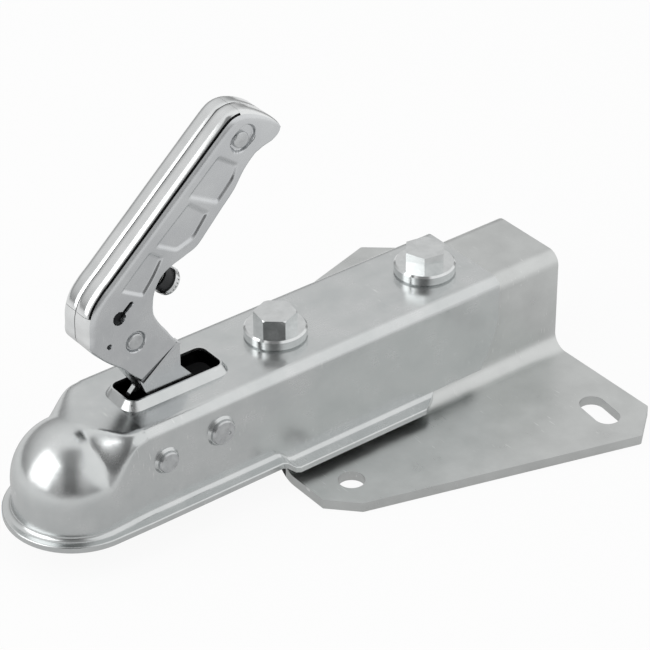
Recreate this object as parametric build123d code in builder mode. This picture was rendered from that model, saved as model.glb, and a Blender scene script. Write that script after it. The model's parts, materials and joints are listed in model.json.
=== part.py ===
from build123d import *
import math
import os

os.makedirs("parts", exist_ok=True)

# Fits used between pieces, in millimetres
running_fit = 0.05
free_gap = 0.3

# Ball socket and sheet of the coupling body
ball_radius = 25.0
socket_gap = 0.4
body_sheet = 4.0
socket_radius = ball_radius + socket_gap
dome_radius = socket_radius + body_sheet
crown_flat = 0.05

# Channel behind the dome
channel_half = 28.2
channel_top = 30.2
channel_bend = 5.0
channel_start = 22.0
channel_rear = 227.6
channel_foot = -18.2
rear_slant_top = 7.0
rear_slant_mid_x = 221.2
rear_slant_mid_z = -11.3
rear_slant_low_x = 217.0

# Rim flange round the nose and along both sides
rim_top = -14.4
rim_half = 34.5
rim_sheet = 3.4
rim_cove = 2.5
rim_edge_round = 0.7
inner_cove = 6.0
drop_start = 92.0
drop_end = 101.0
drop_height = 5.4
low_rim_half = 36.0
low_rim_end = 176.5
low_rim_root_end = 189.0

# Handle slot with its raised lip
slot_front = 26.5
slot_rear = 77.5
slot_half = 9.0
slot_corner = 4.0
lip_height = 4.0
lip_base_half = 12.7
lip_top_half = 10.1

# Bolts, washers and nuts, standard M12
bolt_front_x = 113.9
bolt_pitch = 89.9
bolt_radius = 6.0
bolt_hole_radius = 6.5
bolt_flats = 18.0
bolt_head_height = 7.5
bolt_length = 42.0
bolt_washer_radius = 15.0
bolt_washer_thick = 5.6
nut_height = 10.8
nut_washer_radius = 12.0
nut_washer_thick = 2.5

# Folded mounting bracket
bracket_sheet = 5.0
bracket_half = channel_half - body_sheet - free_gap
bracket_top = channel_top - body_sheet
bracket_bend = 6.8
bracket_cove = 8.1
bracket_front = 99.5
bracket_rear = 269.4
wing_top = -27.3
wing_front_half = 54.4
wing_slant_x = 112.5
wing_slant_y = 68.0
wing_tip_x = 250.3
wing_tip_y = 108.0
wing_rear_half = 92.0
mount_hole_x = 119.5
mount_hole_y = 50.3
mount_hole_radius = 6.5
mount_slot_x = 248.8
mount_slot_y = 79.9
mount_slot_length = 25.0
mount_slot_angle = 7.0

# Pivots through the side walls
jaw_pivot_x = 31.3
jaw_pivot_z = 11.1
jaw_pin_radius = 5.0
jaw_head_radius = 5.2
handle_pivot_x = 61.5
handle_pivot_z = 14.1
handle_pin_radius = 6.0
handle_head_radius = 6.2
boss_height = 1.2
boss_slope = 1.6
pin_head_thick = 1.6

# Handle plates, as seen from the side
handle_half = 9.5
plate_thick = 2.5
lever_half = 7.75
emboss_depth = 0.5
close_angle = 42.0
handle_open = -8.0
hub_radius = 7.8
top_edge_round = 1.6
nose_edge_round = 1.8
jaw_ratio = 0.35

# Ball jaw and its curved cam track
jaw_half = 13.0
jaw_floor = -16.0
tail_half = 4.7
crank_length = 15.0
crank_angle = -115.0
cam_pin_radius = 2.5
track_wall = 3.2
track_open = -10.0
track_close = 44.0

# Rivets of the handle
low_rivet_x = 30.2
low_rivet_z = 65.7
top_rivet_x = 90.2
top_rivet_z = 147.0
rivet_head_radius = 4.0
rivet_shank_radius = 3.0
rivet_recess_depth = 1.1

# Safety button, pawl and their line of travel
button_x = 52.8
button_z = 85.1
button_out_x = 0.743
button_out_z = -0.669
cap_radius = 6.75
cap_thick = 3.6
stem_radius = 3.0
stem_length = 18.0
guide_near = 10.5
guide_length = 6.5
pawl_half = 1.25

sleeve_radius = 4.5

# Holes and pressed panels of the side plates
keyhole_x = 22.2
keyhole_z = 81.2
keyhole_radius = 3.4
keyhole_slot = 2.1
gauge_x = 16.2
gauge_z = 68.7
gauge_radius = 1.2
panel_outlines = [
    [(77.7, 142.2), (87.0, 135.6), (85.0, 129.6), (76.2, 120.8), (62.2, 128.6)],
    [(61.4, 124.6), (70.4, 117.0), (62.7, 107.4), (54.0, 104.6), (44.2, 110.4)],
    [(39.7, 107.6), (46.8, 102.2), (41.0, 95.6), (36.4, 87.6), (25.0, 94.4)],
]

# Grip cover: path of its crown and shape of its skirts
cover_front = [(4.5, 0, 76.0), (4.9, 0, 84.7), (7.6, 0, 91.8), (12.3, 0, 97.4), (17.6, 0, 102.0)]
cover_back_end = (82.3, 0, 159.6)
cover_tip = (86.4, 0, 161.8)
cover_half = 8.5
cover_drop = 2.3
cover_sheet = 1.8
seam_gap = 0.4
skirt_outline = [(22.5, 102.7), (76.0, 150.6), (81.7, 144.9), (28.5, 96.4)]
skirt_hollow = [(10.0, 91.4), (18.5, 99.1), (85.0, 158.7), (95.0, 140.0), (30.0, 80.0)]

# Outline of the pawl in the side view
pawl_outline = [
    (26.0, 59.0),
    (22.5, 55.0),
    (25.0, 50.2),
    (29.8, 42.6),
    (34.2, 35.9),
    (29.9, 31.7),
    (29.6, 28.6),
    (38.5, 28.2),
    (41.0, 33.0),
    (38.0, 46.0),
    (35.5, 62.0),
    (36.0, 70.0),
    (33.4, 84.0),
    (35.0, 93.0),
    (41.0, 99.6),
    (37.4, 101.4),
    (31.0, 96.0),
    (28.0, 84.0),
    (24.5, 70.0),
]

# Outline points of the handle plates in the side view
plate_outline = [
    (9.1, 87.6),
    (10.6, 90.0),
    (14.7, 94.9),
    (82.6, 155.9),
    (88.2, 158.9),
    (89.4, 160.9),
    (96.7, 158.2),
    (102.0, 154.5),
    (107.2, 149.5),
    (110.6, 145.0),
    (110.2, 143.2),
    (101.7, 140.6),
    (96.2, 138.0),
    (92.3, 134.6),
    (89.7, 130.2),
    (86.0, 123.6),
    (81.0, 118.0),
    (71.7, 109.2),
    (66.7, 104.4),
    (61.0, 101.0),
    (51.7, 98.2),
    (46.7, 95.2),
    (42.6, 90.0),
    (40.8, 84.2),
    (40.4, 78.4),
    (42.0, 72.8),
    (46.7, 65.2),
    (53.6, 56.4),
    (32.0, 42.8),
    (26.7, 51.0),
    (21.7, 55.4),
    (16.7, 58.9),
    (11.7, 64.0),
    (5.6, 70.6),
    (5.6, 74.8),
    (7.3, 75.6),
    (7.8, 83.7),
]

# Coupling body: dome, channel, rim flange, slot lip and bosses in one sheet
body_stations = [
    (0.0, dome_radius, dome_radius, dome_radius - crown_flat, 34.2),
    (2.0, 29.29, 29.47, 28.0, 34.23),
    (4.4, 29.16, 29.56, 24.5, 34.26),
    (8.8, 28.92, 29.72, 16.5, 34.32),
    (13.2, 28.68, 29.88, 9.5, 34.38),
    (18.0, 28.42, 30.05, 6.2, 34.45),
    (channel_start, channel_half, channel_top, channel_bend, rim_half),
]
drop_stations = [
    (drop_start, 0.0, rim_half),
    (drop_start + 2.5, 0.17, 34.75),
    (drop_start + 4.5, 0.5, 35.25),
    (drop_start + 6.5, 0.83, 35.75),
    (drop_end, 1.0, low_rim_half),
    (low_rim_root_end, 1.0, low_rim_half),
]


def body_outline(half, top, bend, rim, foot):
    inner_half = half - body_sheet
    inner_top = top - body_sheet
    inner_bend = max(bend - body_sheet, 1.0)
    rim_low = foot - rim_sheet
    cove_x = half + rim_cove
    bend_x = inner_half + inner_cove
    bend_z = rim_low + inner_cove
    round_x = rim - rim_edge_round
    with BuildLine() as right:
        Line((0, inner_top), (inner_half - inner_bend, inner_top))
        TangentArc((inner_half - inner_bend, inner_top), (inner_half, inner_top - inner_bend), tangent=(1, 0))
        Line((inner_half, inner_top - inner_bend), (inner_half, bend_z))
        TangentArc((inner_half, bend_z), (bend_x, rim_low), tangent=(0, -1))
        Line((bend_x, rim_low), (round_x, rim_low))
        TangentArc((round_x, rim_low), (rim, rim_low + rim_edge_round), tangent=(1, 0))
        Line((rim, rim_low + rim_edge_round), (rim, foot - rim_edge_round))
        TangentArc((rim, foot - rim_edge_round), (round_x, foot), tangent=(0, 1))
        Line((round_x, foot), (cove_x, foot))
        TangentArc((cove_x, foot), (half, foot + rim_cove), tangent=(-1, 0))
        Line((half, foot + rim_cove), (half, top - bend))
        TangentArc((half, top - bend), (half - bend, top), tangent=(0, 1))
        Line((half - bend, top), (0, top))
        mirror(about=Plane.YZ)
    return right


with BuildPart() as coupling_body:
    # Nose: half turn of the wall profile about the ball axis
    with BuildSketch(Plane.YZ) as nose_profile:
        nose_rim = body_stations[0][4]
        nose_round = nose_rim - rim_edge_round
        rim_low = rim_top - rim_sheet
        with BuildLine():
            Line((0, dome_radius), (crown_flat, dome_radius))
            TangentArc((crown_flat, dome_radius), (dome_radius, crown_flat), tangent=(1, 0))
            Line((dome_radius, crown_flat), (dome_radius, rim_top + rim_cove))
            TangentArc((dome_radius, rim_top + rim_cove), (dome_radius + rim_cove, rim_top), tangent=(0, -1))
            Line((dome_radius + rim_cove, rim_top), (nose_round, rim_top))
            TangentArc((nose_round, rim_top), (nose_rim, rim_top - rim_edge_round), tangent=(1, 0))
            Line((nose_rim, rim_top - rim_edge_round), (nose_rim, rim_low + rim_edge_round))
            TangentArc((nose_rim, rim_low + rim_edge_round), (nose_round, rim_low), tangent=(0, -1))
            Line((nose_round, rim_low), (socket_radius + inner_cove, rim_low))
            TangentArc((socket_radius + inner_cove, rim_low), (socket_radius, rim_low + inner_cove), tangent=(-1, 0))
            Line((socket_radius, rim_low + inner_cove), (socket_radius, crown_flat))
            TangentArc((socket_radius, crown_flat), (crown_flat, socket_radius), tangent=(0, 1))
            Line((crown_flat, socket_radius), (0, socket_radius))
            Line((0, socket_radius), (0, dome_radius))
        make_face()
    revolve(axis=Axis.Z, revolution_arc=180)
    # Saddle between the round dome and the square channel
    for station_x, half, top, bend, rim in body_stations:
        with BuildSketch(Plane.YZ.offset(station_x)):
            add(body_outline(half, top, bend, rim, rim_top).line)
            make_face()
    loft()
    # Straight channel up to the drop of the rim
    with BuildSketch(Plane.YZ.offset(channel_start)):
        add(body_outline(channel_half, channel_top, channel_bend, rim_half, rim_top).line)
        make_face()
    extrude(amount=drop_start - channel_start)
    # Channel with the rim set lower
    for station_x, share, rim in drop_stations:
        with BuildSketch(Plane.YZ.offset(station_x)):
            foot = rim_top - share * drop_height
            add(body_outline(channel_half, channel_top, channel_bend, rim, foot).line)
            make_face()
    loft(ruled=True)
    # Plain channel behind the rim, ended by the slanted cut
    inner_half = channel_half - body_sheet
    inner_top = channel_top - body_sheet
    bend_y = channel_half - channel_bend
    bend_z = channel_top - channel_bend
    with BuildSketch(Plane.YZ.offset(low_rim_root_end)):
        with BuildLine():
            Line((0, inner_top), (inner_half - 1.0, inner_top))
            TangentArc((inner_half - 1.0, inner_top), (inner_half, inner_top - 1.0), tangent=(1, 0))
            Line((inner_half, inner_top - 1.0), (inner_half, channel_foot))
            Line((inner_half, channel_foot), (channel_half, channel_foot))
            Line((channel_half, channel_foot), (channel_half, bend_z))
            TangentArc((channel_half, bend_z), (bend_y, channel_top), tangent=(0, 1))
            Line((bend_y, channel_top), (0, channel_top))
            mirror(about=Plane.YZ)
        make_face()
    extrude(amount=channel_rear - low_rim_root_end)
    with BuildSketch(Plane.XZ):
        with BuildLine():
            Polyline(
                (channel_rear + 5, rear_slant_top),
                (channel_rear, rear_slant_top),
                (rear_slant_mid_x, rear_slant_mid_z),
                (rear_slant_low_x, channel_foot),
                (rear_slant_low_x, channel_foot - 20),
                (channel_rear + 5, channel_foot - 20),
                close=True,
            )
        make_face()
    extrude(amount=60, both=True, mode=Mode.SUBTRACT)
    # Slanted end of the low rim on both sides
    with BuildSketch(Plane.XY.offset(rim_top - drop_height + rim_cove + 0.2)):
        with BuildLine() as rim_cut:
            Polyline(
                (low_rim_end, low_rim_half + 2),
                (low_rim_end, low_rim_half),
                (low_rim_root_end - 2, channel_half + 0.01),
                (low_rim_root_end + 5, channel_half + 0.01),
                (low_rim_root_end + 5, low_rim_half + 2),
                close=True,
            )
        make_face()
        mirror(about=Plane.XZ)
    extrude(amount=-12, mode=Mode.SUBTRACT)
    with BuildSketch(Plane.XY.offset(channel_foot)):
        with Locations((low_rim_root_end - 1, 0)):
            Rectangle(4, 2 * channel_half + 0.02)
    extrude(amount=-12, mode=Mode.SUBTRACT)
    # Raised lip round the handle slot
    slot_mid = (slot_front + slot_rear) / 2
    slot_length = slot_rear - slot_front
    lip_growth = lip_base_half - slot_half
    lip_taper = math.degrees(math.atan((lip_base_half - lip_top_half) / lip_height))
    with BuildSketch(Plane.XY.offset(channel_top - 0.5)):
        with Locations((slot_mid, 0)):
            RectangleRounded(slot_length + 2 * lip_growth, 2 * lip_base_half, slot_corner + lip_growth)
    extrude(amount=lip_height + 0.5, taper=lip_taper)
    with BuildSketch(Plane.XY.offset(channel_top + lip_height + 1)):
        with Locations((slot_mid, 0)):
            RectangleRounded(slot_length, 2 * slot_half, slot_corner)
    extrude(amount=-lip_height - body_sheet - 3, mode=Mode.SUBTRACT)
    # Round bosses of the two pivots on both side walls
    for side in (-1, 1):
        wall_plane = Plane(origin=(0, side * (channel_half - 0.2), 0), x_dir=(1, 0, 0), z_dir=(0, side, 0))
        for pivot_x, pivot_z, head in (
            (jaw_pivot_x, jaw_pivot_z, jaw_head_radius),
            (handle_pivot_x, handle_pivot_z, handle_head_radius),
        ):
            with Locations(wall_plane.location * Location((pivot_x, -side * pivot_z, 0))):
                Cone(
                    head + boss_slope,
                    head + 0.4,
                    boss_height + 0.2,
                    align=(Align.CENTER, Align.CENTER, Align.MIN),
                )
    # Holes for the pins and the bolts
    with BuildSketch(Plane.XZ):
        with Locations((jaw_pivot_x, jaw_pivot_z)):
            Circle(jaw_pin_radius + running_fit)
        with Locations((handle_pivot_x, handle_pivot_z)):
            Circle(handle_pin_radius + running_fit)
    extrude(amount=60, both=True, mode=Mode.SUBTRACT)
    with BuildSketch(Plane.XY.offset(channel_top + 5)):
        with Locations((bolt_front_x, 0), (bolt_front_x + bolt_pitch, 0)):
            Circle(bolt_hole_radius)
    extrude(amount=-body_sheet - 6, mode=Mode.SUBTRACT)
coupling_body.part.label = "coupling_body"
export_step(coupling_body.part, "parts/coupling_body.step")

# Mounting bracket: hat section with two wings
with BuildPart() as mounting_bracket:
    wing_low = wing_top - bracket_sheet
    with BuildSketch(Plane.YZ.offset(bracket_front)):
        cove_top = wing_top + bracket_cove
        cove_y = bracket_half + bracket_cove
        inner_y = bracket_half - bracket_sheet
        bend_y = bracket_half - bracket_bend
        bend_z = bracket_top - bracket_bend
        inner_top = bracket_top - bracket_sheet
        with BuildLine():
            Line((0, bracket_top), (bend_y, bracket_top))
            TangentArc((bend_y, bracket_top), (bracket_half, bend_z), tangent=(1, 0))
            Line((bracket_half, bend_z), (bracket_half, cove_top))
            TangentArc((bracket_half, cove_top), (cove_y, wing_top), tangent=(0, -1))
            Line((cove_y, wing_top), (wing_tip_y + 2, wing_top))
            Line((wing_tip_y + 2, wing_top), (wing_tip_y + 2, wing_low))
            Line((wing_tip_y + 2, wing_low), (cove_y, wing_low))
            TangentArc((cove_y, wing_low), (inner_y, cove_top), tangent=(-1, 0))
            Line((inner_y, cove_top), (inner_y, bend_z))
            TangentArc((inner_y, bend_z), (bend_y, inner_top), tangent=(0, 1))
            Line((bend_y, inner_top), (0, inner_top))
            mirror(about=Plane.YZ)
        make_face()
    extrude(amount=bracket_rear - bracket_front)
    # Plan outline of the wings
    with BuildSketch(Plane.XY.offset(wing_low - 1)) as wing_plan:
        with BuildLine():
            Polyline(
                (bracket_front, 0),
                (bracket_front, wing_front_half),
                (wing_slant_x, wing_slant_y),
                (wing_tip_x, wing_tip_y),
                (bracket_rear, wing_rear_half),
                (bracket_rear, 0),
            )
            mirror(about=Plane.XZ)
        make_face()
        fillet(wing_plan.vertices().filter_by_position(Axis.X, bracket_front + 1, bracket_rear - 1), 2.0)
        rear_corners = wing_plan.vertices().group_by(Axis.X)[-1]
        fillet(rear_corners.filter_by_position(Axis.Y, 5, 200), 1.5)
        rear_corners = wing_plan.vertices().filter_by_position(Axis.Y, -wing_rear_half - 1, 1 - wing_rear_half)
        fillet(rear_corners.group_by(Axis.X)[-1], 1.5)
    extrude(amount=bracket_top - wing_low + 3, mode=Mode.INTERSECT)
    # Round holes, slots and bolt holes
    with BuildSketch(Plane.XY.offset(wing_top + 1)):
        with Locations((mount_hole_x, mount_hole_y), (mount_hole_x, -mount_hole_y)):
            Circle(mount_hole_radius)
        with Locations(Location((mount_slot_x, mount_slot_y, 0), (0, 0, 90 + mount_slot_angle))):
            SlotOverall(mount_slot_length, 2 * mount_hole_radius)
        with Locations(Location((mount_slot_x, -mount_slot_y, 0), (0, 0, 90 - mount_slot_angle))):
            SlotOverall(mount_slot_length, 2 * mount_hole_radius)
    extrude(amount=-bracket_sheet - 2, mode=Mode.SUBTRACT)
    with BuildSketch(Plane.XY.offset(bracket_top + 1)):
        with Locations((bolt_front_x, 0), (bolt_front_x + bolt_pitch, 0)):
            Circle(bolt_hole_radius)
    extrude(amount=-bracket_sheet - 2, mode=Mode.SUBTRACT)
mounting_bracket.part.label = "mounting_bracket"
export_step(mounting_bracket.part, "parts/mounting_bracket.step")

# Heavy washers under the bolt heads
with BuildPart() as front_washer:
    with Locations((bolt_front_x, 0, channel_top)):
        Cylinder(bolt_washer_radius, bolt_washer_thick, align=(Align.CENTER, Align.CENTER, Align.MIN))
        Hole(bolt_hole_radius)
    rims = front_washer.edges().filter_by(GeomType.CIRCLE)
    chamfer(rims.filter_by(lambda edge: edge.radius > bolt_washer_radius - 1), 0.9)
front_washer.part.label = "front_washer"
export_step(front_washer.part, "parts/front_washer.step")

with BuildPart() as rear_washer:
    with Locations((bolt_front_x + bolt_pitch, 0, channel_top)):
        Cylinder(bolt_washer_radius, bolt_washer_thick, align=(Align.CENTER, Align.CENTER, Align.MIN))
        Hole(bolt_hole_radius)
    rims = rear_washer.edges().filter_by(GeomType.CIRCLE)
    chamfer(rims.filter_by(lambda edge: edge.radius > bolt_washer_radius - 1), 0.9)
rear_washer.part.label = "rear_washer"
export_step(rear_washer.part, "parts/rear_washer.step")

# Hex bolts with a rounded crown on the head
head_base = channel_top + bolt_washer_thick
with BuildPart() as front_bolt:
    with BuildSketch(Plane.XY.offset(head_base)):
        with Locations((bolt_front_x, 0)):
            RegularPolygon(bolt_flats / 2, 6, major_radius=False, rotation=20)
    extrude(amount=bolt_head_height)
    with Locations((bolt_front_x, 0, head_base)):
        Cone(
            bolt_flats / 2 + bolt_head_height + 0.8,
            bolt_flats / 2 - 0.5,
            bolt_head_height + 1.3,
            align=(Align.CENTER, Align.CENTER, Align.MIN),
            mode=Mode.INTERSECT,
        )
    with Locations((bolt_front_x, 0, head_base)):
        Cylinder(bolt_radius, bolt_length, align=(Align.CENTER, Align.CENTER, Align.MAX))
front_bolt.part.label = "front_bolt"
export_step(front_bolt.part, "parts/front_bolt.step")

with BuildPart() as rear_bolt:
    with BuildSketch(Plane.XY.offset(head_base)):
        with Locations((bolt_front_x + bolt_pitch, 0)):
            RegularPolygon(bolt_flats / 2, 6, major_radius=False, rotation=50)
    extrude(amount=bolt_head_height)
    with Locations((bolt_front_x + bolt_pitch, 0, head_base)):
        Cone(
            bolt_flats / 2 + bolt_head_height + 1.6,
            bolt_flats / 2 + 0.3,
            bolt_head_height + 1.3,
            align=(Align.CENTER, Align.CENTER, Align.MIN),
            mode=Mode.INTERSECT,
        )
    with Locations((bolt_front_x + bolt_pitch, 0, head_base)):
        Cylinder(bolt_radius, bolt_length, align=(Align.CENTER, Align.CENTER, Align.MAX))
rear_bolt.part.label = "rear_bolt"
export_step(rear_bolt.part, "parts/rear_bolt.step")

# Washers and nuts inside the hat
nut_seat = bracket_top - bracket_sheet
with BuildPart() as nut_washers:
    with Locations((bolt_front_x, 0, nut_seat), (bolt_front_x + bolt_pitch, 0, nut_seat)):
        Cylinder(nut_washer_radius, nut_washer_thick, align=(Align.CENTER, Align.CENTER, Align.MAX))
        Hole(bolt_hole_radius)
nut_washers.part.label = "nut_washers"
export_step(nut_washers.part, "parts/nut_washers.step")

with BuildPart() as front_nut:
    with BuildSketch(Plane.XY.offset(nut_seat - nut_washer_thick)):
        with Locations((bolt_front_x, 0)):
            RegularPolygon(bolt_flats / 2, 6, major_radius=False, rotation=20)
            Circle(bolt_radius + running_fit, mode=Mode.SUBTRACT)
    extrude(amount=-nut_height)
front_nut.part.label = "front_nut"
export_step(front_nut.part, "parts/front_nut.step")

with BuildPart() as rear_nut:
    with BuildSketch(Plane.XY.offset(nut_seat - nut_washer_thick)):
        with Locations((bolt_front_x + bolt_pitch, 0)):
            RegularPolygon(bolt_flats / 2, 6, major_radius=False, rotation=50)
            Circle(bolt_radius + running_fit, mode=Mode.SUBTRACT)
    extrude(amount=-nut_height)
rear_nut.part.label = "rear_nut"
export_step(rear_nut.part, "parts/rear_nut.step")

# Riveted pivot pins with flat heads on both sides
boss_face = channel_half + boss_height
with BuildPart() as jaw_pin:
    with BuildSketch(Plane.XZ):
        with Locations((jaw_pivot_x, jaw_pivot_z)):
            Circle(jaw_pin_radius)
    extrude(amount=boss_face, both=True)
    for side in (-1, 1):
        with BuildSketch(Plane.XZ.offset(side * boss_face)):
            with Locations((jaw_pivot_x, jaw_pivot_z)):
                Circle(jaw_head_radius)
        extrude(amount=side * pin_head_thick)
    head_rims = jaw_pin.edges().filter_by(GeomType.CIRCLE)
    chamfer([head_rims.sort_by(Axis.Y)[0], head_rims.sort_by(Axis.Y)[-1]], 0.6)
jaw_pin.part.label = "jaw_pin"
export_step(jaw_pin.part, "parts/jaw_pin.step")

with BuildPart() as handle_pin:
    with BuildSketch(Plane.XZ):
        with Locations((handle_pivot_x, handle_pivot_z)):
            Circle(handle_pin_radius)
    extrude(amount=boss_face, both=True)
    for side in (-1, 1):
        with BuildSketch(Plane.XZ.offset(side * boss_face)):
            with Locations((handle_pivot_x, handle_pivot_z)):
                Circle(handle_head_radius)
        extrude(amount=side * pin_head_thick)
    head_rims = handle_pin.edges().filter_by(GeomType.CIRCLE)
    chamfer([head_rims.sort_by(Axis.Y)[0], head_rims.sort_by(Axis.Y)[-1]], 0.6)
    with Locations((handle_pivot_x + 3, -boss_face - pin_head_thick, handle_pivot_z - 1)):
        Sphere(0.8, mode=Mode.SUBTRACT)
handle_pin.part.label = "handle_pin"
export_step(handle_pin.part, "parts/handle_pin.step")

# Spacer tubes that centre the jaw and the handle on their pins
wall_inside = channel_half - body_sheet
with BuildPart() as jaw_sleeves:
    for side in (-1, 1):
        with BuildSketch(Plane.XZ.offset(side * wall_inside)):
            with Locations((jaw_pivot_x, jaw_pivot_z)):
                Circle(jaw_pin_radius + 2.5)
                Circle(jaw_pin_radius + running_fit, mode=Mode.SUBTRACT)
        extrude(amount=-side * (wall_inside - jaw_half - free_gap))
jaw_sleeves.part.label = "jaw_sleeves"
export_step(jaw_sleeves.part, "parts/jaw_sleeves.step")

with BuildPart() as handle_sleeves:
    for side in (-1, 1):
        with BuildSketch(Plane.XZ.offset(side * wall_inside)):
            with Locations((handle_pivot_x, handle_pivot_z)):
                Circle(handle_pin_radius + 1.9)
                Circle(handle_pin_radius + running_fit, mode=Mode.SUBTRACT)
        extrude(amount=-side * (wall_inside - lever_half - free_gap))
handle_sleeves.part.label = "handle_sleeves"
export_step(handle_sleeves.part, "parts/handle_sleeves.step")

# Ball jaw: the track is cut so that it turns in a fixed ratio to the handle
def crank_point(turn):
    angle = math.radians(crank_angle - turn)
    pin_x = handle_pivot_x + crank_length * math.cos(angle)
    pin_z = handle_pivot_z + crank_length * math.sin(angle)
    return pin_x, pin_z


def track_point(turn):
    pin_x, pin_z = crank_point(turn)
    back = math.radians(jaw_ratio * turn)
    arm_x = pin_x - jaw_pivot_x
    arm_z = pin_z - jaw_pivot_z
    track_x = jaw_pivot_x + arm_x * math.cos(back) - arm_z * math.sin(back)
    track_z = jaw_pivot_z + arm_x * math.sin(back) + arm_z * math.cos(back)
    return track_x, track_z


track_turns = [track_open + (track_close - track_open) * step / 8 for step in range(9)]
track_points = [track_point(turn) for turn in track_turns]
open_turn = math.radians(jaw_ratio * close_angle)
seat_x = jaw_pivot_x - jaw_pivot_x * math.cos(open_turn) + jaw_pivot_z * math.sin(open_turn)
seat_z = jaw_pivot_z - jaw_pivot_x * math.sin(open_turn) - jaw_pivot_z * math.cos(open_turn)
jaw_clear_radius = ball_radius + free_gap
with BuildPart() as ball_jaw:
    with BuildSketch(Plane.XZ):
        with BuildLine():
            Polyline(
                (18, jaw_floor),
                (36, jaw_floor),
                (39.5, -9),
                (39.5, 8),
                (jaw_pivot_x + 2, jaw_pivot_z + 4),
                (18, jaw_pivot_z),
                close=True,
            )
        make_face()
        with Locations((jaw_pivot_x, jaw_pivot_z)):
            Circle(8.2)
    extrude(amount=jaw_half, both=True)
    lower_edges = ball_jaw.edges().filter_by(Axis.Y).group_by(Axis.Z)[0]
    fillet(lower_edges.sort_by(Axis.X)[-1], 2.0)
    with BuildSketch(Plane.XZ) as tail:
        with BuildLine():
            Line((jaw_pivot_x, jaw_pivot_z - 6), (jaw_pivot_x, jaw_pivot_z + 6))
        for track_x, track_z in track_points[::4]:
            with Locations((track_x, track_z)):
                Circle(cam_pin_radius + track_wall)
        with Locations((jaw_pivot_x, jaw_pivot_z)):
            Circle(8.0)
        with Locations((36, -6)):
            Circle(3)
        make_hull()
    extrude(amount=tail_half, both=True)
    # Notch that clears the hub of the handle over the whole swing
    with BuildSketch(Plane.XZ):
        for step in range(6):
            swing = math.radians(jaw_ratio * (handle_open + (close_angle - handle_open) * step / 5))
            hub_x = handle_pivot_x - jaw_pivot_x
            hub_z = handle_pivot_z - jaw_pivot_z
            notch_x = jaw_pivot_x + hub_x * math.cos(swing) - hub_z * math.sin(swing)
            notch_z = jaw_pivot_z + hub_x * math.sin(swing) + hub_z * math.cos(swing)
            with Locations((notch_x, notch_z)):
                Circle(hub_radius + 2 * free_gap)
    extrude(amount=jaw_half, both=True, mode=Mode.SUBTRACT)
    # Curved track for the cam pin
    with BuildSketch(Plane.XZ):
        with BuildLine() as track_line:
            Spline(*track_points)
        trace(track_line.edges(), line_width=2 * (cam_pin_radius + running_fit))
        for track_x, track_z in (track_points[0], track_points[-1]):
            with Locations((track_x, track_z)):
                Circle(cam_pin_radius + running_fit)
    extrude(amount=jaw_half + 2, both=True, mode=Mode.SUBTRACT)
    with BuildSketch(Plane.XZ):
        with Locations((jaw_pivot_x, jaw_pivot_z)):
            Circle(jaw_pin_radius + running_fit)
    extrude(amount=jaw_half + 2, both=True, mode=Mode.SUBTRACT)
    # Seat on the closed ball, and room for the ball to leave when open
    with Locations((seat_x, 0, seat_z)):
        Sphere(jaw_clear_radius, mode=Mode.SUBTRACT)
    Sphere(jaw_clear_radius, mode=Mode.SUBTRACT)
    Cylinder(jaw_clear_radius, 40, align=(Align.CENTER, Align.CENTER, Align.MAX), mode=Mode.SUBTRACT)
ball_jaw.part.label = "ball_jaw"
export_step(ball_jaw.part, "parts/ball_jaw.step")

# Torsion spring round the sleeve of the handle pin
spring_wire = 1.1
spring_coil = 9.3
with BuildPart() as main_spring:
    with BuildLine() as coil_line:
        coil = Helix(
            pitch=3.0,
            height=9.0,
            radius=spring_coil,
            center=(handle_pivot_x, 10.5, handle_pivot_z),
            direction=(0, 1, 0),
        )
    with BuildSketch(Plane(origin=coil @ 0, z_dir=coil % 0)):
        Circle(spring_wire)
    sweep(path=coil_line.line, is_frenet=True)
    coil_end = coil @ 1
    leg_plane = Plane(origin=coil_end, z_dir=coil % 1)
    with BuildSketch(leg_plane):
        Circle(spring_wire)
    extrude(amount=14)
    leg_plane = Plane(origin=coil @ 0, z_dir=-(coil % 0))
    with BuildSketch(leg_plane):
        Circle(spring_wire)
    extrude(amount=10)
main_spring.part.label = "main_spring"
export_step(main_spring.part, "parts/main_spring.step")

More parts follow.
